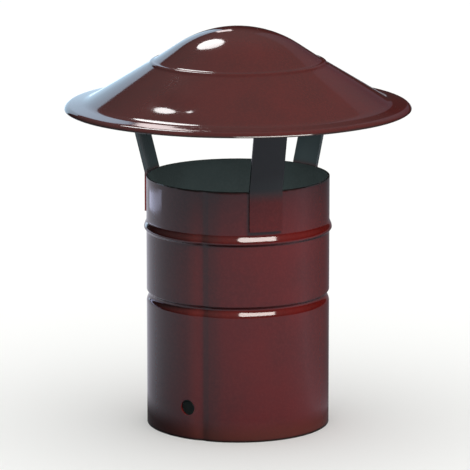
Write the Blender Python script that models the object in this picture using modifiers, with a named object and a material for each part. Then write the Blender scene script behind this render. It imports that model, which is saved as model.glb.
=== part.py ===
"""Rain-capped flue terminal in enamelled sheet steel: an open tube, a domed rain cap and three
straps that hold the cap above the tube's mouth. Metres, +Z up, -Y is the front. The origin is the
middle of the tube's bottom end. An azimuth is a turn from the front towards the right."""

import math

import bpy
from mathutils import Vector

SHEET = 0.0012  # enamelled sheet of the tube and the cap
GAP = 0.0003  # kept between pieces that touch
TURN_STEPS = 60

# The tube.
TUBE_RADIUS = 0.060
TUBE_HEIGHT = 0.165
BEAD_HEIGHT = 0.1313  # middle of the bead that stands out from the wall
BEAD_HALF = 0.0052
BEAD_PROUD = 0.0016
GROOVE_HEIGHT = 0.0874  # middle of the groove rolled into the wall
GROOVE_HALF = 0.0050
GROOVE_DEEP = 0.0015
SWELL_STEPS = 6  # stretches across a bead or a groove

# The fixing hole near the foot of the tube.
HOLE_RADIUS = 0.005
HOLE_HEIGHT = 0.021
HOLE_AZIMUTH = math.radians(-33.0)

# The rain cap's outer face in section: a rounded crown on a cone, a pressed step, a conical skirt
# that flares, and a lip that turns down. Slopes are measured down from the horizontal.
CAP_APEX = 0.2629
CROWN_RADIUS = 0.070
CROWN_SLOPE = math.radians(32.0)
STEP_RADIUS = 0.0546  # where the crown's cone meets the step
STEP_FLAT = 0.0024
STEP_FLAT_FALL = 0.0004
STEP_EDGE = 0.0009
STEP_EDGE_FALL = 0.0007
STEP_RUN = 0.0037  # all of the step, outwards
STEP_FALL = 0.0022
SKIRT_SLOPE = math.radians(31.3)
FLARE_START = 0.097
FLARE_RADIUS = 0.014
FLARE_SLOPE = math.radians(8.0)
LIP_START = 0.1096
LIP_RADIUS = 0.0045
LIP_SLOPE = math.radians(72.0)

# The straps: each lies on the wall above the bead, leans outwards above the mouth, and ends in a
# foot under the cap.
STRAP_WIDTH = 0.022
STRAP_THICK = 0.0020
STRAP_CLEAR = 0.0025  # between a strap's lower end and the bead
STRAP_LEAN = math.radians(14.5)
STRAP_FOOT = 0.013
STRAP_BEND = 0.004
STRAP_AZIMUTHS = {
    "strap_front": math.radians(17.0),
    "strap_rear": math.radians(132.0),
    "strap_left": math.radians(-110.0),
}
SECTOR = math.radians(24.0)  # turned for a strap before it is cut to its width
SECTOR_STEPS = 6


def arc(middle, radius, first, last, steps):
    """Points (radius, height) of an arc in section, between two slopes."""
    points = []
    for i in range(steps + 1):
        slope = first + (last - first) * i / steps
        across = radius * math.sin(slope)
        up = radius * math.cos(slope)
        points.append((middle[0] + across, middle[1] + up))
    return points


def down_slope(point, radius, slope):
    """The point at this radius on a straight line that falls outwards from the given point."""
    return (radius, point[1] - (radius - point[0]) * math.tan(slope))


def cap_line():
    """The cap's outer face in section, from the apex to the rim."""
    points = arc((0.0, CAP_APEX - CROWN_RADIUS), CROWN_RADIUS, 0.0, CROWN_SLOPE, 7)
    step = down_slope(points[-1], STEP_RADIUS, CROWN_SLOPE)
    points.append(step)
    points.append((step[0] + STEP_FLAT, step[1] - STEP_FLAT_FALL))
    points.append((points[-1][0] + STEP_EDGE, points[-1][1] - STEP_EDGE_FALL))
    points.append((step[0] + STEP_RUN, step[1] - STEP_FALL))
    flare = down_slope(points[-1], FLARE_START, SKIRT_SLOPE)
    flare_middle = (
        flare[0] + FLARE_RADIUS * math.sin(SKIRT_SLOPE),
        flare[1] + FLARE_RADIUS * math.cos(SKIRT_SLOPE),
    )
    points += arc(flare_middle, -FLARE_RADIUS, SKIRT_SLOPE, FLARE_SLOPE, 4)
    lip = down_slope(points[-1], LIP_START, FLARE_SLOPE)
    lip_middle = (
        lip[0] - LIP_RADIUS * math.sin(FLARE_SLOPE),
        lip[1] - LIP_RADIUS * math.cos(FLARE_SLOPE),
    )
    return points + arc(lip_middle, LIP_RADIUS, FLARE_SLOPE, LIP_SLOPE, 4)


def tube_line():
    """The tube's outer face in section, from the mouth down to the bottom end."""
    points = [(TUBE_RADIUS, TUBE_HEIGHT)]
    bead = (BEAD_HEIGHT, BEAD_HALF, BEAD_PROUD)
    groove = (GROOVE_HEIGHT, GROOVE_HALF, -GROOVE_DEEP)
    for middle, half, proud in (bead, groove):
        for i in range(SWELL_STEPS + 1):
            along = 2 * i / SWELL_STEPS - 1
            swell = 0.5 + 0.5 * math.cos(math.pi * along)
            points.append((TUBE_RADIUS + proud * swell, middle - half * along))
    points.append((TUBE_RADIUS, 0.0))
    return points


def strap_line():
    """The middle of a strap's thickness in section, from its foot down to its lower end."""
    wall = TUBE_RADIUS + GAP + STRAP_THICK / 2
    under = (SHEET + GAP + STRAP_THICK / 2) / math.cos(SKIRT_SLOPE)
    skirt = next(point for point in cap_line() if point[0] >= STEP_RADIUS + STEP_RUN)
    # The strap leans from the tube's mouth until it meets the line that runs under the skirt.
    rise = skirt[1] - under + skirt[0] * math.tan(SKIRT_SLOPE) - TUBE_HEIGHT
    reach = (rise - wall * math.tan(SKIRT_SLOPE)) / (1 / math.tan(STRAP_LEAN) + math.tan(SKIRT_SLOPE))
    knee = (wall + reach, TUBE_HEIGHT + reach / math.tan(STRAP_LEAN))
    foot = down_slope(knee, knee[0] + STRAP_FOOT, SKIRT_SLOPE)
    lower_end = BEAD_HEIGHT + BEAD_HALF + STRAP_CLEAR
    corners = [foot, knee, (wall, TUBE_HEIGHT), (wall, lower_end)]
    return rounded(corners, STRAP_BEND, 4)


def rounded(line, radius, steps):
    """The line with each of its corners turned into an arc of this radius."""
    out = [line[0]]
    for before, corner, after in zip(line, line[1:], line[2:]):
        corner = Vector(corner)
        back = (Vector(before) - corner).normalized()
        ahead = (Vector(after) - corner).normalized()
        half = back.angle(ahead) / 2
        middle = corner + (back + ahead).normalized() * radius / math.sin(half)
        start = (corner + back * radius / math.tan(half) - middle).normalized()
        end = (corner + ahead * radius / math.tan(half) - middle).normalized()
        for i in range(steps + 1):
            out.append(tuple(middle + start.slerp(end, i / steps) * radius))
    out.append(line[-1])
    return out


def sheet(name, line, turn, steps, thick, side, where):
    """A line (radius, height) turned about the upright axis and given the sheet's thickness."""
    mesh = bpy.data.meshes.new(name)
    edges = [(i, i + 1) for i in range(len(line) - 1)]
    mesh.from_pydata([(radius, 0.0, height) for radius, height in line], edges, [])
    obj = bpy.data.objects.new(name, mesh)
    where.objects.link(obj)
    screw = obj.modifiers.new("turn", "SCREW")
    screw.angle = turn
    screw.steps = steps
    screw.render_steps = steps
    screw.use_merge_vertices = True
    screw.merge_threshold = 0.00001
    screw.use_smooth_shade = True
    solidify = obj.modifiers.new("sheet", "SOLIDIFY")
    solidify.thickness = thick
    solidify.offset = side
    solidify.use_even_offset = True
    return obj


def cut(obj, operation, cutter):
    boolean = obj.modifiers.new(cutter.name, "BOOLEAN")
    boolean.operation = operation
    boolean.solver = "EXACT"
    boolean.object = cutter


def helper(cutter, name, where):
    """Moves a new primitive to the cutters and keeps it out of the render."""
    cutter.name = name
    for collection in list(cutter.users_collection):
        collection.objects.unlink(cutter)
    where.objects.link(cutter)
    cutter.hide_render = True
    cutter.display_type = "WIRE"
    return cutter


def hole_cutter(where):
    bpy.ops.mesh.primitive_cylinder_add(vertices=24, radius=HOLE_RADIUS, depth=TUBE_RADIUS / 2)
    cutter = helper(bpy.context.object, "hole_cutter", where)
    outward = Vector((math.sin(HOLE_AZIMUTH), -math.cos(HOLE_AZIMUTH), 0.0))
    cutter.rotation_mode = "QUATERNION"
    cutter.rotation_quaternion = outward.to_track_quat("Z", "Y")
    cutter.location = outward * TUBE_RADIUS + Vector((0.0, 0.0, HOLE_HEIGHT))
    return cutter


def strap(name, azimuth, where, helpers):
    """A strip of constant width that follows the strap line, rolled to the curve of the tube."""
    obj = sheet(name, strap_line(), SECTOR, SECTOR_STEPS, STRAP_THICK, 0.0, where)
    heading = azimuth - math.pi / 2
    obj.rotation_euler.z = heading - SECTOR / 2
    bpy.ops.mesh.primitive_cube_add(size=1.0)
    trim = helper(bpy.context.object, name + "_trim", helpers)
    trim.scale = (CAP_APEX, STRAP_WIDTH, CAP_APEX)
    trim.rotation_euler.z = heading
    along = Vector((math.cos(heading), math.sin(heading), 1.0))
    trim.location = along * CAP_APEX / 2
    cut(obj, "INTERSECT", trim)
    return obj


def enamel(name, colour, roughness):
    material = bpy.data.materials.new(name)
    material.use_nodes = True
    shader = material.node_tree.nodes["Principled BSDF"]
    shader.inputs["Base Color"].default_value = (*colour, 1.0)
    shader.inputs["Roughness"].default_value = roughness
    shader.inputs["Coat Weight"].default_value = 0.6
    return material


def collection(name):
    new = bpy.data.collections.new(name)
    bpy.context.scene.collection.children.link(new)
    return new


def main():
    for obj in list(bpy.data.objects):
        bpy.data.objects.remove(obj, do_unlink=True)
    parts = collection("flue_terminal")
    helpers = collection("cutters")
    oxblood = enamel("oxblood_enamel", (0.13, 0.028, 0.026), 0.14)
    ground_coat = enamel("ground_coat_enamel", (0.045, 0.018, 0.017), 0.22)

    tube = sheet("flue_tube", tube_line(), math.tau, TURN_STEPS, SHEET, -1.0, parts)
    cut(tube, "DIFFERENCE", hole_cutter(helpers))
    tube.data.materials.append(oxblood)
    cap = sheet("rain_cap", cap_line(), math.tau, TURN_STEPS, SHEET, -1.0, parts)
    cap.data.materials.append(oxblood)
    for name, azimuth in STRAP_AZIMUTHS.items():
        strap(name, azimuth, parts, helpers).data.materials.append(ground_coat)


main()
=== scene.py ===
"""Looks of the rain-capped flue terminal: vitreous enamel on sheet steel, in soft studio light.
Metres, +Z up, -Y is the front. An azimuth is in degrees, turned from the front towards the right. A
slope is in radians, measured down from the horizontal."""

import math

import bpy
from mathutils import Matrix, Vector, noise


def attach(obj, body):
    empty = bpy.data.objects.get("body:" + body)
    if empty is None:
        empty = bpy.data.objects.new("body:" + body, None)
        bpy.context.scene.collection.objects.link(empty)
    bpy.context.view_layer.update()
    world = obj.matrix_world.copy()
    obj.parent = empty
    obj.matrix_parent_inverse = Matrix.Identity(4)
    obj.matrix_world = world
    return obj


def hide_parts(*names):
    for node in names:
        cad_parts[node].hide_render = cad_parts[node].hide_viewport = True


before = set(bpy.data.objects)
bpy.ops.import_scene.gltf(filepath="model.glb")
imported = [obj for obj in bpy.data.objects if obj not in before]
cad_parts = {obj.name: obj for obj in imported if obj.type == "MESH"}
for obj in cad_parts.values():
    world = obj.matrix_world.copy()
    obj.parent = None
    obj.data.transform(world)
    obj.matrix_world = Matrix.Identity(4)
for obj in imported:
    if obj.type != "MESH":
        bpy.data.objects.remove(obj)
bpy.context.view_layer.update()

MM = 0.001

# Rolled and pressed sheet
SHEET = 1.2 * MM
GAP = 0.3 * MM  # kept between pieces that touch
EDGE_ROUND = 0.45 * MM  # enamel pulls back round a cut edge
MOUTH_ROUND = 0.20 * MM
TURN_STEPS = 288
DRIFT = 0.16 * MM  # how far pressed sheet is from true
DRIFT_WAVE = 42 * MM
DRIFT_SEED = 5
APEX_STILL = 10 * MM  # the drift fades out towards the apex

# Tube
TUBE_RADIUS = 60 * MM
TUBE_HEIGHT = 165 * MM
BEAD_HEIGHT = 131.3 * MM
BEAD_HALF = 5.2 * MM  # half of the height that a strap keeps clear of
BEAD_PROUD = 1.6 * MM
GROOVE_HEIGHT = 87.4 * MM
GROOVE_DEEP = 1.5 * MM
FLANK_UP = 5.5 * MM  # the rolled flanks that face up are long, and those that face down are steep
FLANK_DOWN = 2.6 * MM
SWELL_STEPS = 24  # stretches across a bead or a groove
SEAM_AZIMUTH = -22.7
SEAM_HALF = 9 * MM  # the wall falls away a little on both sides towards the butt weld
SEAM_DEEP = 0.95 * MM
HOLE_RADIUS = 5 * MM
HOLE_HEIGHT = 21 * MM
HOLE_AZIMUTH = -33.0
HOLE_STEPS = 64

# Rain cap
CAP_APEX = 262.9 * MM
CROWN_RADIUS = 70 * MM
CROWN_SLOPE = math.radians(32.0)
CROWN_FULL_RADIUS = 73 * MM  # the pressed crown is a touch fuller than the solid's
CROWN_FULL_SLOPE = math.radians(33.2)
STEP_RADIUS = 54.6 * MM
STEP_FLAT = 2.4 * MM
STEP_FLAT_FALL = 0.4 * MM
STEP_RUN = 3.7 * MM
STEP_FALL = 2.2 * MM
STEP_ROUND = 5 * MM
SKIRT_SLOPE = math.radians(31.3)
FLARE_START = 97 * MM
FLARE_RADIUS = 14 * MM
FLARE_SLOPE = math.radians(8.0)
LIP_START = 109.6 * MM
LIP_RADIUS = 4.5 * MM
LIP_SLOPE = math.radians(72.0)
UNDERSIDE_RADIUS = 112.2 * MM  # a face that looks down from further out belongs to the lip
# Small dents in the skirt: azimuth, radius, half their width, half their height, depth
DENTS = [
    (-33, 83.5 * MM, 7 * MM, 4.2 * MM, 0.62 * MM),
    (-27, 86 * MM, 6 * MM, 3 * MM, 0.24 * MM),
    (-20.6, 84.5 * MM, 3.4 * MM, 2.8 * MM, 0.62 * MM),
]

# Straps
STRAP_WIDTH = 22 * MM
STRAP_THICK = 2 * MM
STRAP_CLEAR = 2.5 * MM  # between a strap's lower end and the bead
STRAP_LEAN = math.radians(14.5)
STRAP_FOOT = 13 * MM
STRAP_BEND = 4 * MM
STRAP_AZIMUTHS = {"strap_front": 17.0, "strap_rear": 132.0, "strap_left": -110.0}
SECTOR = math.radians(24.0)  # turned for a strap before it is cut to its width
SECTOR_STEPS = 24


# Lines in section, as points (radius, height)


def arc(middle, radius, first, last, steps):
    """Points of an arc between two slopes."""
    points = []
    for i in range(steps + 1):
        slope = first + (last - first) * i / steps
        points.append((middle[0] + radius * math.sin(slope), middle[1] + radius * math.cos(slope)))
    return points


def down_slope(point, radius, slope):
    """The point at this radius on a straight line that falls outwards from the given point."""
    return (radius, point[1] - (radius - point[0]) * math.tan(slope))


def step_corner():
    """Where the crown of the solid meets the pressed step."""
    crown_end = arc((0.0, CAP_APEX - CROWN_RADIUS), CROWN_RADIUS, 0.0, CROWN_SLOPE, steps=1)[-1]
    return down_slope(crown_end, STEP_RADIUS, CROWN_SLOPE)


def step_foot():
    """Where the pressed step meets the skirt."""
    step = step_corner()
    return (step[0] + STEP_RUN, step[1] - STEP_FALL)


def cap_line():
    """The rain cap's outer face, from the apex to the rim."""
    middle = (0.0, CAP_APEX - CROWN_FULL_RADIUS)
    points = arc(middle, CROWN_FULL_RADIUS, 0.0, CROWN_FULL_SLOPE, steps=22)
    step = step_corner()
    shelf = (step[0] + STEP_FLAT, step[1] - STEP_FLAT_FALL)
    foot = step_foot()
    flare = down_slope(foot, FLARE_START, SKIRT_SLOPE)
    points += rounded([points[-1], step, shelf, foot, flare], STEP_ROUND, steps=6)[1:]
    flare_middle = (
        flare[0] + FLARE_RADIUS * math.sin(SKIRT_SLOPE),
        flare[1] + FLARE_RADIUS * math.cos(SKIRT_SLOPE),
    )
    points += arc(flare_middle, -FLARE_RADIUS, SKIRT_SLOPE, FLARE_SLOPE, steps=12)[1:]
    lip = down_slope(points[-1], LIP_START, FLARE_SLOPE)
    lip_middle = (
        lip[0] - LIP_RADIUS * math.sin(FLARE_SLOPE),
        lip[1] - LIP_RADIUS * math.cos(FLARE_SLOPE),
    )
    points += arc(lip_middle, LIP_RADIUS, FLARE_SLOPE, LIP_SLOPE, steps=10)
    return finer(points, longest=2.2 * MM)


def tube_line():
    """The tube's outer face, from the mouth down to the bottom end."""
    points = [(TUBE_RADIUS, TUBE_HEIGHT)]
    bead = (BEAD_HEIGHT, FLANK_UP, FLANK_DOWN, BEAD_PROUD)
    groove = (GROOVE_HEIGHT, FLANK_DOWN, FLANK_UP, -GROOVE_DEEP)
    for middle, above, below, proud in (bead, groove):
        for i in range(SWELL_STEPS + 1):
            along = 2 * i / SWELL_STEPS - 1
            swell = 0.5 + 0.5 * math.cos(math.pi * along)
            flank = above if along < 0 else below
            points.append((TUBE_RADIUS + proud * swell, middle - flank * along))
    points.append((TUBE_RADIUS, 0.0))
    return finer(points, longest=4 * MM)


def strap_line():
    """The middle of a strap's thickness, from its foot under the cap down to its lower end."""
    wall = TUBE_RADIUS + GAP + STRAP_THICK / 2
    under = (SHEET + GAP + STRAP_THICK / 2) / math.cos(SKIRT_SLOPE)
    skirt = step_foot()
    # The strap leans from the tube's mouth until it meets the line that runs under the skirt.
    fall = math.tan(SKIRT_SLOPE)
    lean = 1 / math.tan(STRAP_LEAN)
    rise = skirt[1] - under + skirt[0] * fall - TUBE_HEIGHT
    reach = (rise - wall * fall) / (lean + fall)
    knee = (wall + reach, TUBE_HEIGHT + reach * lean)
    foot = down_slope(knee, knee[0] + STRAP_FOOT, SKIRT_SLOPE)
    lower_end = BEAD_HEIGHT + BEAD_HALF + STRAP_CLEAR
    corners = [foot, knee, (wall, TUBE_HEIGHT), (wall, lower_end)]
    return finer(rounded(corners, STRAP_BEND, steps=10), longest=3 * MM)


def rounded(line, radius, steps):
    """The line with each of its corners turned into an arc, of this radius where there is room."""
    out = [line[0]]
    for before, corner, after in zip(line, line[1:], line[2:]):
        corner = Vector(corner)
        back = Vector(before) - corner
        ahead = Vector(after) - corner
        room = 0.45 * min(back.length, ahead.length)
        back.normalize()
        ahead.normalize()
        half = back.angle(ahead) / 2
        fits = min(radius, room * math.tan(half))
        middle = corner + (back + ahead).normalized() * fits / math.sin(half)
        start = (corner + back * fits / math.tan(half) - middle).normalized()
        end = (corner + ahead * fits / math.tan(half) - middle).normalized()
        for i in range(steps + 1):
            out.append(tuple(middle + start.slerp(end, i / steps) * fits))
    out.append(line[-1])
    return out


def finer(line, longest):
    """The line with its long stretches divided, so that the faces stay small."""
    out = [line[0]]
    for here, there in zip(line, line[1:]):
        a, b = Vector(here), Vector(there)
        parts = max(1, math.ceil((b - a).length / longest))
        for i in range(1, parts + 1):
            out.append(tuple(a.lerp(b, i / parts)))
    return out


# Sheet metal made from those lines


def modifier(obj, name, kind, **settings):
    new = obj.modifiers.new(name, kind)
    for key, value in settings.items():
        setattr(new, key, value)
    return new


def apply_modifiers(obj):
    graph = bpy.context.evaluated_depsgraph_get()
    mesh = bpy.data.meshes.new_from_object(obj.evaluated_get(graph))
    obj.modifiers.clear()
    obj.data = mesh


def turned_skin(name, line, turn=math.tau, steps=TURN_STEPS):
    """The outer face alone: the line turned about the upright axis."""
    mesh = bpy.data.meshes.new(name)
    edges = [(i, i + 1) for i in range(len(line) - 1)]
    mesh.from_pydata([(radius, 0.0, height) for radius, height in line], edges, [])
    obj = bpy.data.objects.new(name, mesh)
    bpy.context.scene.collection.objects.link(obj)
    modifier(
        obj, "turn", "SCREW",
        angle=turn, steps=steps, render_steps=steps, use_merge_vertices=True, merge_threshold=0.01 * MM,
    )
    apply_modifiers(obj)
    return obj


def thicken(obj, thick, side):
    modifier(obj, "sheet", "SOLIDIFY", thickness=thick, offset=side, use_even_offset=True)


def round_edges(obj, width):
    modifier(
        obj, "enamelled edge", "BEVEL",
        width=width, segments=3, limit_method="ANGLE", angle_limit=math.radians(50),
        harden_normals=False,
    )


def direction(azimuth, elevation):
    """The unit vector towards an azimuth and an elevation, both in degrees."""
    a, e = math.radians(azimuth), math.radians(elevation)
    return Vector((math.sin(a) * math.cos(e), -math.cos(a) * math.cos(e), math.sin(e)))


def hand_formed(obj, amount, wave):
    """Moves the skin a little, as rolled and pressed sheet is never quite true."""
    noise.seed_set(DRIFT_SEED)
    for vertex in obj.data.vertices:
        drift = noise.noise_vector(vertex.co / wave) * amount
        reach = min(1.0, vertex.co.xy.length / APEX_STILL)
        vertex.co += drift * reach


def dent(obj, azimuth, radius, wide, high, deep):
    """A small dent in the cap, such as handling leaves."""
    outward = direction(azimuth, 0)
    sideways = direction(azimuth + 90, 0)
    for vertex in obj.data.vertices:
        along = (vertex.co.dot(outward) - radius) / high
        across = vertex.co.dot(sideways) / wide
        away = along * along + across * across
        if away < 9:
            vertex.co.z -= deep * math.exp(-away / 2)


def weld_seam(obj):
    """The butt weld that runs up the tube lies in a shallow valley, as the ends of a rolled sheet
    stay a little flat."""
    seam = math.radians(SEAM_AZIMUTH)
    for vertex in obj.data.vertices:
        across = abs(math.atan2(vertex.co.x, -vertex.co.y) - seam) * TUBE_RADIUS
        if across < SEAM_HALF:
            outward = Vector((vertex.co.x, vertex.co.y, 0.0)).normalized()
            vertex.co -= outward * SEAM_DEEP * (1 - across / SEAM_HALF) ** 2


def cutter(name, make, **size):
    make(**size)
    obj = bpy.context.object
    obj.name = name
    return obj


def cut(obj, operation, tool):
    modifier(obj, tool.name, "BOOLEAN", operation=operation, solver="EXACT", object=tool)


def make_tube():
    tube = turned_skin("enamelled_tube", tube_line())
    weld_seam(tube)
    thicken(tube, SHEET, -1.0)
    drill = cutter(
        "drill", bpy.ops.mesh.primitive_cylinder_add,
        vertices=HOLE_STEPS, radius=HOLE_RADIUS, depth=TUBE_RADIUS / 2,
    )
    outward = direction(HOLE_AZIMUTH, 0)
    drill.rotation_mode = "QUATERNION"
    drill.rotation_quaternion = outward.to_track_quat("Z", "Y")
    drill.location = outward * TUBE_RADIUS + Vector((0.0, 0.0, HOLE_HEIGHT))
    cut(tube, "DIFFERENCE", drill)
    round_edges(tube, MOUTH_ROUND)
    apply_modifiers(tube)
    bpy.data.objects.remove(drill)
    return tube


def make_cap():
    cap = turned_skin("enamelled_rain_cap", cap_line())
    hand_formed(cap, DRIFT, DRIFT_WAVE)
    for place in DENTS:
        dent(cap, *place)
    thicken(cap, SHEET, -1.0)
    round_edges(cap, EDGE_ROUND)
    apply_modifiers(cap)
    return cap


def make_strap(name, azimuth):
    strap = turned_skin("enamelled_" + name, strap_line(), SECTOR, SECTOR_STEPS)
    thicken(strap, STRAP_THICK, 0.0)
    heading = math.radians(azimuth) - math.pi / 2
    strap.rotation_euler.z = heading - SECTOR / 2
    trim = cutter("trim", bpy.ops.mesh.primitive_cube_add, size=1.0)
    trim.scale = (CAP_APEX, STRAP_WIDTH, CAP_APEX)
    trim.rotation_euler.z = heading
    trim.location = Vector((math.cos(heading), math.sin(heading), 1.0)) * CAP_APEX / 2
    cut(strap, "INTERSECT", trim)
    round_edges(strap, EDGE_ROUND)
    apply_modifiers(strap)
    bpy.data.objects.remove(trim)
    return strap


# Materials

# Marks of a fired coat, by the distance between them
CLOUD = 38 * MM  # where the coat is thicker or thinner
SPECK = 1.6 * MM
RIPPLE = 7 * MM  # soft waves where the glass flowed before it set
PEEL = 2.2 * MM  # orange peel
PINHOLE = 9 * MM  # the holes are drawn coarser than real ones, so that they show
RIPPLE_HIGH = 0.10 * MM
PEEL_HIGH = 0.02 * MM

# Lines that run up the tube, by their distance to the right of the butt weld. The painted highlight and
# painted shade beside the weld are placed by them.
SEAM_STRIPES = {
    "seam": 0.0,
    "right_of_seam": 2.3 * MM,
    "far_right_of_seam": 6.5 * MM,
    "left_of_seam": -6.0 * MM,
}

# Each coat as three colours: most of it, its clouds and its specks
TUBE_OXBLOOD = ("5b0f0b", "660f0c", "741b14")
# the cap's coat is the tube's, painted darker as shade, since the lamps light the cap more
CAP_OXBLOOD = ("480e0b", "500f0c", "5a1711")
INSIDE_COAT = ("5a6666", "627070", "6c7876")
# colour of the painted highlight to the left of the weld
SEAM_HIGHLIGHT_RED = "8a2a20"
# the ground coat's colour, also used as painted shade to the right of the weld
GROUND_AND_SHADE = "1c2221"
# painted shade on the straps above the tube's mouth
STRAP_SHADE = "2d3638"
WORN_FOOT = "755550"


def linear(hex_colour):
    """An sRGB hex colour as linear red, green, blue and alpha."""
    out = []
    for i in (0, 2, 4):
        c = int(hex_colour[i : i + 2], 16) / 255
        out.append(c / 12.92 if c <= 0.04045 else ((c + 0.055) / 1.055) ** 2.4)
    return (*out, 1.0)


def add(tree, kind, sockets=None, **settings):
    """Adds a node. Each of its sockets, by name or place, takes a link from another node's output or
    a plain value. The settings are the node's own."""
    new = tree.nodes.new(kind)
    for key, value in settings.items():
        setattr(new, key, value)
    for socket, value in (sockets or {}).items():
        if isinstance(value, bpy.types.NodeSocket):
            tree.links.new(value, new.inputs[socket])
        else:
            new.inputs[socket].default_value = value
    return new


def material(name):
    new = bpy.data.materials.new(name)
    new.use_nodes = True
    new.node_tree.nodes.clear()
    return new, new.node_tree


def measure_places(tree, place):
    """Outputs that measure the height, the radius and the distance from each line by the weld."""
    axis = add(tree, "ShaderNodeSeparateXYZ", {"Vector": place})
    flat = add(tree, "ShaderNodeVectorMath", {0: place, 1: (1.0, 1.0, 0.0)}, operation="MULTIPLY")
    radius = add(tree, "ShaderNodeVectorMath", {0: flat.outputs[0]}, operation="LENGTH")
    measured = {"height": axis.outputs["Z"], "radius": radius.outputs["Value"]}
    for what, across in SEAM_STRIPES.items():
        azimuth = math.radians(SEAM_AZIMUTH) + across / TUBE_RADIUS
        spot = (TUBE_RADIUS * math.sin(azimuth), -TUBE_RADIUS * math.cos(azimuth), 0.0)
        off = add(tree, "ShaderNodeVectorMath", {0: flat.outputs[0], 1: spot}, operation="DISTANCE")
        measured[what] = off.outputs["Value"]
    return measured


def vitreous_enamel(name, cover, roughness, uneven, ior=1.48):
    """Glass fused to steel. It is deep and even in colour, faintly mottled where the coat is thicker, with
    the soft ripple and the pinholes of a fired coat. The uneven places, each given as (what is measured,
    from, to, how much there, how much here, colour), are those where the coat is thinner or worn, and those
    painted lighter or darker as highlight and shade."""
    new, tree = material(name)
    place = add(tree, "ShaderNodeTexCoord").outputs["Object"]
    cloud = add(tree, "ShaderNodeTexNoise", {"Vector": place, "Scale": 1 / CLOUD, "Detail": 3.0})
    speck = add(tree, "ShaderNodeTexNoise", {"Vector": place, "Scale": 1 / SPECK, "Detail": 2.0})
    ripple = add(tree, "ShaderNodeTexNoise", {"Vector": place, "Scale": 1 / RIPPLE, "Detail": 2.0})
    peel = add(tree, "ShaderNodeTexNoise", {"Vector": place, "Scale": 1 / PEEL, "Detail": 1.0})
    pits = add(tree, "ShaderNodeTexVoronoi", {"Vector": place, "Scale": 1 / PINHOLE})

    layers = [
        (cloud.outputs["Fac"], 0.35, 0.68, 0.0, 1.0, cover[1]),
        (speck.outputs["Fac"], 0.42, 0.66, 0.0, 0.35, cover[2]),
        (pits.outputs["Distance"], 0.020, 0.045, 0.55, 0.0, GROUND_AND_SHADE),
    ]
    measured = measure_places(tree, place)
    layers += [(measured[what], *limits) for what, *limits in uneven]
    colour = linear(cover[0])
    for value, start, end, at_start, at_end, paint in layers:
        mask = add(
            tree, "ShaderNodeMapRange",
            {"Value": value, "From Min": start, "From Max": end, "To Min": at_start, "To Max": at_end},
            interpolation_type="SMOOTHSTEP",
        )
        mixed = add(
            tree, "ShaderNodeMix", {0: mask.outputs["Result"], 6: colour, 7: linear(paint)},
            data_type="RGBA",
        )
        colour = mixed.outputs[2]

    fired = add(
        tree, "ShaderNodeMapRange",
        {"Value": cloud.outputs["Fac"], "From Min": 0.30, "From Max": 0.72,
         "To Min": roughness[0], "To Max": roughness[1]},
    )
    soft = add(
        tree, "ShaderNodeBump",
        {"Height": ripple.outputs["Fac"], "Strength": 0.24, "Distance": RIPPLE_HIGH},
    )
    fine = add(
        tree, "ShaderNodeBump",
        {"Height": peel.outputs["Fac"], "Normal": soft.outputs["Normal"],
         "Strength": 0.16, "Distance": PEEL_HIGH},
    )
    shader = add(
        tree, "ShaderNodeBsdfPrincipled",
        {"Base Color": colour, "Roughness": fired.outputs["Result"], "Normal": fine.outputs["Normal"],
         "IOR": ior},
    )
    add(tree, "ShaderNodeOutputMaterial", {"Surface": shader.outputs["BSDF"]})
    return new


def ground_coat():
    """The ground coat alone, dipped and fired. It gives the inside a flat grey-green with no gleam."""
    return vitreous_enamel("ground_coat_enamel", INSIDE_COAT, (0.30, 0.42), [])


def tube_coat():
    """Oxblood cover coat, sprayed and fired. It gives the wall a deep red-brown and a wet gloss. Beside the
    weld there is a painted highlight on its left and painted shade on its right. The coat is burnt thin at
    the cut ends, and rubbed at the foot."""
    uneven = [
        # painted highlight left of the weld, and painted shade in two bands right of it
        ("left_of_seam", 1.0 * MM, 7.0 * MM, 0.26, 0.0, SEAM_HIGHLIGHT_RED),
        ("far_right_of_seam", 1.5 * MM, 8.5 * MM, 0.24, 0.0, GROUND_AND_SHADE),
        ("right_of_seam", 1.7 * MM, 2.4 * MM, 0.28, 0.0, GROUND_AND_SHADE),
        ("height", 2.0 * MM, 16.0 * MM, 0.40, 0.0, WORN_FOOT),
        ("height", 0.6 * MM, 1.9 * MM, 0.85, 0.0, GROUND_AND_SHADE),
        ("height", TUBE_HEIGHT - 1.3 * MM, TUBE_HEIGHT - 0.3 * MM, 0.0, 0.8, GROUND_AND_SHADE),
    ]
    return vitreous_enamel("oxblood_enamel_tube", TUBE_OXBLOOD, (0.06, 0.11), uneven)


def cap_coat():
    """The same cover coat, glossier, and painted darker as shade, since the lamps light the cap more than
    the tube. It is burnt thin on the cut edge of the lip."""
    uneven = [("radius", 112.6 * MM, 113.2 * MM, 0.0, 0.7, GROUND_AND_SHADE)]
    return vitreous_enamel("oxblood_enamel_cap", CAP_OXBLOOD, (0.05, 0.09), uneven)


def strap_coat():
    """The same cover coat, less glossy on a flat strap. Above the tube's mouth, where the cap shades it,
    the strap is painted a dark grey-green as shade."""
    # painted shade: dark grey-green above the tube's mouth
    uneven = [("height", TUBE_HEIGHT - 8 * MM, TUBE_HEIGHT + 3 * MM, 0.0, 1.0, STRAP_SHADE)]
    return vitreous_enamel("oxblood_enamel_strap", TUBE_OXBLOOD, (0.14, 0.22), uneven, ior=1.43)


def wear(obj, coats, is_inner=None):
    """Gives the piece its coats. With two, the second goes on the faces that the test finds."""
    obj.data.materials.clear()
    for coat in coats:
        obj.data.materials.append(coat)
    for face in obj.data.polygons:
        face.use_smooth = True
        face.material_index = int(is_inner is not None and is_inner(face))


def inside_tube(face):
    across = Vector((face.center.x, face.center.y, 0.0))
    return face.normal.dot(across.normalized()) < -0.3


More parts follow.
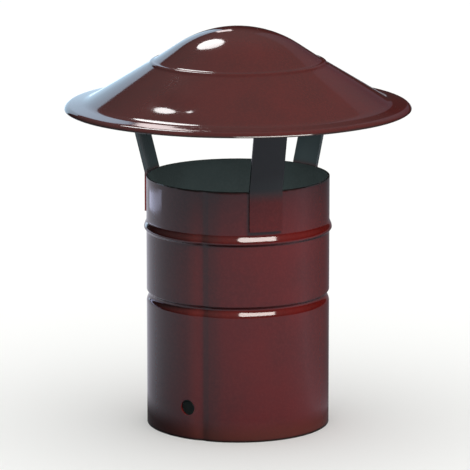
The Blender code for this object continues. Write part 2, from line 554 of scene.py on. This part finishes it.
def under_cap(face):
    return face.normal.z < -0.2 and face.center.xy.length < UNDERSIDE_RADIUS


def place_piece(obj, node):
    """The piece rides on the body and takes the place of its node."""
    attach(obj, "root")
    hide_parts(node)


tube = make_tube()
cap = make_cap()
straps = {name: make_strap(name, azimuth) for name, azimuth in STRAP_AZIMUTHS.items()}

inner = ground_coat()
wear(tube, [tube_coat(), inner], inside_tube)
wear(cap, [cap_coat(), inner], under_cap)
strap_enamel = strap_coat()
place_piece(tube, "flue_tube")
place_piece(cap, "rain_cap")
for name, strap in straps.items():
    wear(strap, [strap_enamel])
    place_piece(strap, name)


# Stage, light and camera

FLOOR_SIZE = 12.0
FLOOR_PAINT = "f4f4f2"
FLOOR_COOL = "eae9f8"
FLOOR_DARK = "080808"
FOOT_SHADE = (75 * MM, 120 * MM)  # the shade at the tube's foot is full up to the first, gone at the second
RIGHT_REAR = (0.6, 0.8, 0.0)

PITCH = math.radians(11.63)  # how far the camera looks down
CAMERA_DISTANCE = 2.410
CAMERA_AIM = Vector((-1.94 * MM, 0.0, 124.9 * MM))
LENS = 281.3  # the lens and the sensor are in millimetres
SENSOR = 36.0


def lay_floor():
    """A pale floor. The gloss mirrors it a little cooler, and darker at the foot of the tube, which
    shades it, and to the right rear, where the studio is dark."""
    bpy.ops.mesh.primitive_plane_add(size=FLOOR_SIZE)
    floor = bpy.context.object
    floor.name = "floor"
    paint, tree = material("pale_floor")
    place = add(tree, "ShaderNodeTexCoord").outputs["Object"]
    heading = add(tree, "ShaderNodeVectorMath", {0: place}, operation="NORMALIZE").outputs[0]
    behind = add(
        tree, "ShaderNodeVectorMath", {0: heading, 1: RIGHT_REAR}, operation="DOT_PRODUCT"
    )
    away = add(
        tree, "ShaderNodeMapRange",
        {"Value": behind.outputs["Value"], "From Min": 0.55, "From Max": 1.0,
         "To Min": 0.24, "To Max": 0.9},
    )
    reach = add(tree, "ShaderNodeVectorMath", {0: place}, operation="LENGTH")
    foot = add(
        tree, "ShaderNodeMapRange",
        {"Value": reach.outputs["Value"], "From Min": FOOT_SHADE[0], "From Max": FOOT_SHADE[1],
         "To Min": 0.9, "To Max": 0.0},
    )
    darker = add(
        tree, "ShaderNodeMath", {0: away.outputs["Result"], 1: foot.outputs["Result"]},
        operation="MAXIMUM",
    )
    ray = add(tree, "ShaderNodeLightPath")
    mirrored = add(
        tree, "ShaderNodeMath",
        {0: ray.outputs["Is Glossy Ray"], 1: darker.outputs["Value"]}, operation="MULTIPLY",
    )
    cool = add(
        tree, "ShaderNodeMix",
        {0: ray.outputs["Is Glossy Ray"], 6: linear(FLOOR_PAINT), 7: linear(FLOOR_COOL)},
        data_type="RGBA",
    )
    colour = add(
        tree, "ShaderNodeMix",
        {0: mirrored.outputs["Value"], 6: cool.outputs[2], 7: linear(FLOOR_DARK)}, data_type="RGBA",
    )
    shader = add(
        tree, "ShaderNodeBsdfPrincipled", {"Base Color": colour.outputs[2], "Roughness": 0.9}
    )
    add(tree, "ShaderNodeOutputMaterial", {"Surface": shader.outputs["BSDF"]})
    floor.data.materials.append(paint)
    floor.visible_diffuse = False
    return floor


def room():
    """What the gloss mirrors is a pale room above the object and a dark one low behind it. The room
    gives hardly any light of its own, and the picture shows plain white there."""
    world = bpy.data.worlds.new("room")
    bpy.context.scene.world = world
    world.use_nodes = True
    tree = world.node_tree
    tree.nodes.clear()
    towards = add(tree, "ShaderNodeTexCoord").outputs["Generated"]
    facing = add(
        tree, "ShaderNodeVectorMath", {0: towards, 1: (0.0, -0.25, 0.97)}, operation="DOT_PRODUCT"
    )
    bright = add(
        tree, "ShaderNodeMapRange",
        {"Value": facing.outputs["Value"], "From Min": 0.0, "From Max": 0.87,
         "To Min": 0.04, "To Max": 0.66},
    )
    seen = add(tree, "ShaderNodeBackground", {"Color": linear("f7f7f6"), "Strength": 1.0})
    mirrored = add(
        tree, "ShaderNodeBackground", {"Color": linear("e6eded"), "Strength": bright.outputs["Result"]}
    )
    dim = add(tree, "ShaderNodeBackground", {"Color": linear("e6eded"), "Strength": 0.10})
    ray = add(tree, "ShaderNodeLightPath")
    gloss = add(
        tree, "ShaderNodeMixShader",
        {0: ray.outputs["Is Glossy Ray"], 1: dim.outputs[0], 2: mirrored.outputs[0]},
    )
    both = add(
        tree, "ShaderNodeMixShader",
        {0: ray.outputs["Is Camera Ray"], 1: gloss.outputs[0], 2: seen.outputs[0]},
    )
    add(tree, "ShaderNodeOutputWorld", {"Surface": both.outputs[0]})


def lit_group(name, objects):
    """The objects that a lamp lights."""
    new = bpy.data.collections.new(name)
    for obj in objects:
        new.objects.link(obj)
    return new


def floor_wash(floor):
    """Even light for the floor alone, so that it stays pale in every view."""
    lamp = bpy.data.lights.new("floor_wash", "SUN")
    lamp.energy = 3.35
    lamp.angle = math.radians(120)
    obj = bpy.data.objects.new("floor_wash", lamp)
    bpy.context.scene.collection.objects.link(obj)
    obj.light_linking.receiver_collection = lit_group("floor_only", [floor])


def softbox(
    name, azimuth, elevation, distance, wide, high, radiance, colour, aim, lit, sees="both",
    shape="RECTANGLE",
):
    """A soft lamp that faces the object. Its radiance is how bright its face looks, in W/(m2 sr). One
    that is seen only by gloss is a reflector card, and one that it doesn't see is a diffuse fill."""
    lamp = bpy.data.lights.new(name, "AREA")
    lamp.shape = shape
    lamp.size = wide
    lamp.size_y = high
    lamp.energy = radiance * math.pi * wide * high
    lamp.color = linear(colour)[:3]
    obj = bpy.data.objects.new(name, lamp)
    bpy.context.scene.collection.objects.link(obj)
    away = direction(azimuth, elevation)
    obj.location = aim + away * distance
    obj.rotation_mode = "QUATERNION"
    obj.rotation_quaternion = away.to_track_quat("Z", "Y")
    obj.visible_camera = False
    obj.visible_diffuse = sees != "gloss"
    obj.visible_glossy = sees != "diffuse"
    obj.light_linking.receiver_collection = lit


def light_the_pieces():
    pieces = lit_group("pieces", [tube, cap, *straps.values()])
    far_straps = lit_group("far_straps", [straps["strap_rear"], straps["strap_left"]])
    middle = Vector((0.0, 0.0, 125 * MM))
    mouth = Vector((0.0, 0.0, TUBE_HEIGHT))
    rim = direction(-26, 0) * 106 * MM + Vector((0.0, 0.0, 213 * MM))
    left_wall = direction(-62, 0) * TUBE_RADIUS + Vector((0.0, 0.0, 155 * MM))
    # Each lamp: name, azimuth, elevation, distance, width, height, radiance, colour, aim, what it lights
    # The white bars on the bead and in the groove, and the light on the front
    softbox("front_right_strip", 26, 35.5, 1.6, 1.24, 0.68, 17, "fffaf4", middle, pieces, "gloss")
    softbox("right_key", 37, 44, 1.6, 0.55, 0.55, 26, "fff8f0", middle, pieces, "diffuse")
    # The oval on the crown, and the streaks on the step, in the dents and along the flare
    softbox("overhead_rear", -157, 52, 1.4, 0.33, 0.42, 9, "ffffff", middle, pieces, shape="ELLIPSE")
    # The cool left side of the cap, the pale stretch of its rim and the patch below the tube's mouth
    softbox("left_rear_panel", -162, 6, 1.8, 0.83, 1.25, 1.45, "c7e7ff", middle, pieces)
    softbox("rim_card", -177.1, 24.5, 1.8, 0.14, 0.17, 3.6, "fff2f2", rim, pieces, "gloss")
    softbox("left_card", -130, -11.6, 0.3, 0.20, 0.014, 1.9, "d4daff", left_wall, pieces, "gloss")
    # The inner faces of the two straps behind the mouth
    softbox("strap_fill", -40, 6, 1.8, 0.50, 0.50, 42, "ffffff", mouth, far_straps, "diffuse")
    softbox("left_strap_fill", 62, 6, 1.8, 0.50, 0.50, 34, "ffffff", mouth, far_straps, "diffuse")
    # The faint sheen at the right of the cap, the back, and the inside of the tube
    softbox("right_rear_card", 152, 24, 1.8, 1.10, 0.90, 0.115, "d0d2ee", middle, pieces, "gloss")
    softbox("rear_fill", 165, 25, 1.8, 1.2, 1.0, 2.6, "ffffff", middle, pieces, "diffuse")
    softbox("light_in_the_tube", 0, -90, 0.065, 0.05, 0.05, 3, "ffffff", mouth, pieces, "diffuse")


def set_camera():
    """A long lens in front of the object that looks a little down."""
    data = bpy.data.cameras.new("camera")
    data.sensor_width = SENSOR
    data.lens = LENS
    data.clip_start = 0.05
    data.clip_end = 50.0
    camera = bpy.data.objects.new("camera", data)
    bpy.context.scene.collection.objects.link(camera)
    camera.location = CAMERA_AIM + CAMERA_DISTANCE * Vector((0.0, -math.cos(PITCH), math.sin(PITCH)))
    camera.rotation_euler = (math.pi / 2 - PITCH, 0.0, 0.0)
    bpy.context.scene.camera = camera


floor = lay_floor()
room()
floor_wash(floor)
light_the_pieces()
set_camera()
bpy.context.scene.view_settings.view_transform = "Standard"
bpy.context.scene.view_settings.look = "None"
